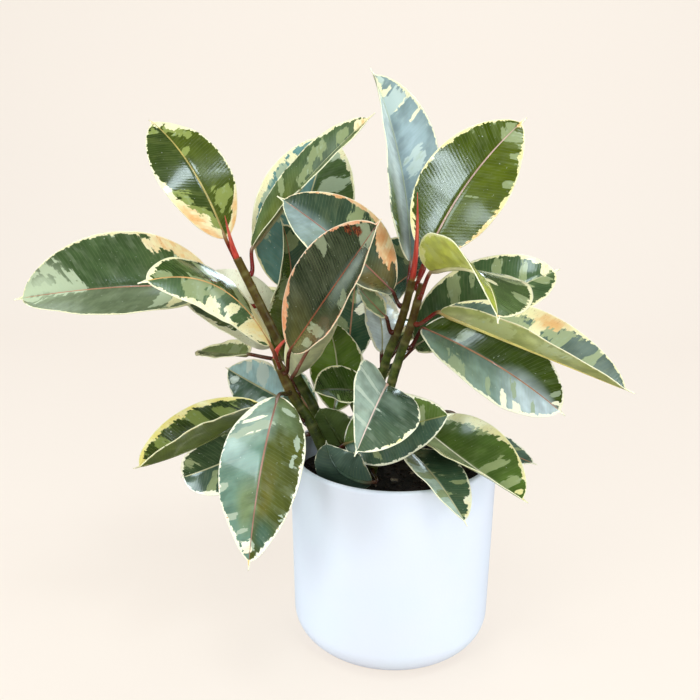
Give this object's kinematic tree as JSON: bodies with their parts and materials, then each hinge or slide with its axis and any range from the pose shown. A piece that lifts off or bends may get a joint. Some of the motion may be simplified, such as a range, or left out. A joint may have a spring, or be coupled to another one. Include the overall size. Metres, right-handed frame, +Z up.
{
  "type": "potted rubber plant",
  "caption": "Bushy variegated rubber plant with thick glossy leaves, cream at the margins, on woody stems in soil, in a plain round white ceramic pot.",
  "frame": {"origin": "middle of the pot's flat foot, on the surface it stands on", "axes": "+Z up along the pot's axis, -Y towards the front of the plant, +X to its right as seen from the front"},
  "size_m": [0.4723, 0.3396, 0.4674],
  "materials": {
    "pot": "matte white glaze",
    "soil": "dark crumbly potting soil",
    "stem": "dull olive bark with paler leaf scars",
    "bud": "smooth coral red sheath",
    "leaf": "waxy dark green with sage patches and cream margins"
  },
  "bodies": {
    "root": {"bud_back": "bud", "bud_left_short": "bud", "bud_left_tall": "bud", "bud_right_back": "bud", "leaf_back_high": "leaf", "leaf_back_left": "leaf", "leaf_back_low": "leaf", "leaf_back_middle": "leaf", "leaf_back_right": "leaf", "leaf_back_right_low": "leaf", "leaf_back_right_middle": "leaf", "leaf_back_rim": "leaf", "leaf_back_top": "leaf", "leaf_inner_dark": "leaf", "leaf_inner_pale": "leaf", "leaf_inner_slim": "leaf", "leaf_left_behind": "leaf", "leaf_left_far": "leaf", "leaf_left_folded": "leaf", "leaf_left_front": "leaf", "leaf_left_hanging": "leaf", "leaf_left_inner": "leaf", "leaf_left_long": "leaf", "leaf_left_lower": "leaf", "leaf_left_top": "leaf", "leaf_low_centre": "leaf", "leaf_low_far_right": "leaf", "leaf_low_hanging": "leaf", "leaf_low_inner": "leaf", "leaf_low_right": "leaf", "leaf_low_rim": "leaf", "leaf_low_wide": "leaf", "leaf_mid_blue": "leaf", "leaf_mid_bright": "leaf", "leaf_mid_broad": "leaf", "leaf_mid_dark": "leaf", "leaf_mid_large": "leaf", "leaf_mid_low": "leaf", "leaf_mid_mottled": "leaf", "leaf_mid_narrow": "leaf", "leaf_mid_turned": "leaf", "leaf_mid_upright": "leaf", "leaf_right_broad": "leaf", "leaf_right_drooping": "leaf", "leaf_right_folded": "leaf", "leaf_right_glossy": "leaf", "leaf_right_top": "leaf", "leaf_right_twisted": "leaf", "pot": "pot", "soil": "soil", "stem_back": "stem", "stem_left_short": "stem", "stem_left_tall": "stem", "stem_right_back": "stem", "stem_right_front": "stem"}
  },
  "joints": []
}
